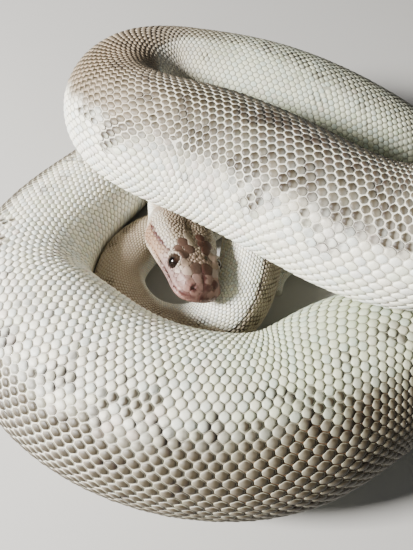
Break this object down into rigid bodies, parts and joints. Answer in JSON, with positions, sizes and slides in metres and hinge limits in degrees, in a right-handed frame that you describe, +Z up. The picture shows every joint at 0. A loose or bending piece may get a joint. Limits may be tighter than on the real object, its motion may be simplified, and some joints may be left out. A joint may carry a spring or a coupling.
{
  "type": "coiled snake model",
  "caption": "Coiled ball python at rest, life size: a thick scaled body in overlapping loops round the small head, standing still on its own floor contacts.",
  "frame": {"origin": "centre of the coil's bounding box at floor level", "axes": "+Z up from the floor, the snout points along -Y, the outer fold of the body lies towards +X"},
  "size_m": [0.2794, 0.2252, 0.1105],
  "materials": {
    "skin": "satin",
    "eye": "gloss"
  },
  "bodies": {
    "root": {"back_length_1": "skin", "back_length_2": "skin", "crossing_1": "skin", "crossing_2": "skin", "crossing_3": "skin", "eye_left": "eye", "eye_right": "eye", "fore_coil_1": "skin", "fore_coil_2": "skin", "fore_coil_3": "skin", "fore_coil_4": "skin", "great_coil_1": "skin", "great_coil_2": "skin", "great_coil_3": "skin", "great_coil_4": "skin", "great_coil_5": "skin", "great_coil_6": "skin", "head": "skin", "inner_coil_1": "skin", "inner_coil_2": "skin", "inner_coil_3": "skin", "inner_coil_4": "skin", "left_fold_1": "skin", "left_fold_2": "skin", "left_fold_3": "skin", "lower_jaw": "skin", "neck": "skin", "neck_loop_1": "skin", "neck_loop_2": "skin", "right_fold_1": "skin", "right_fold_2": "skin", "right_fold_3": "skin", "tail_1": "skin", "tail_2": "skin", "tail_3": "skin", "vent_turn_1": "skin", "vent_turn_2": "skin", "vent_turn_3": "skin", "vent_turn_4": "skin"}
  },
  "joints": []
}
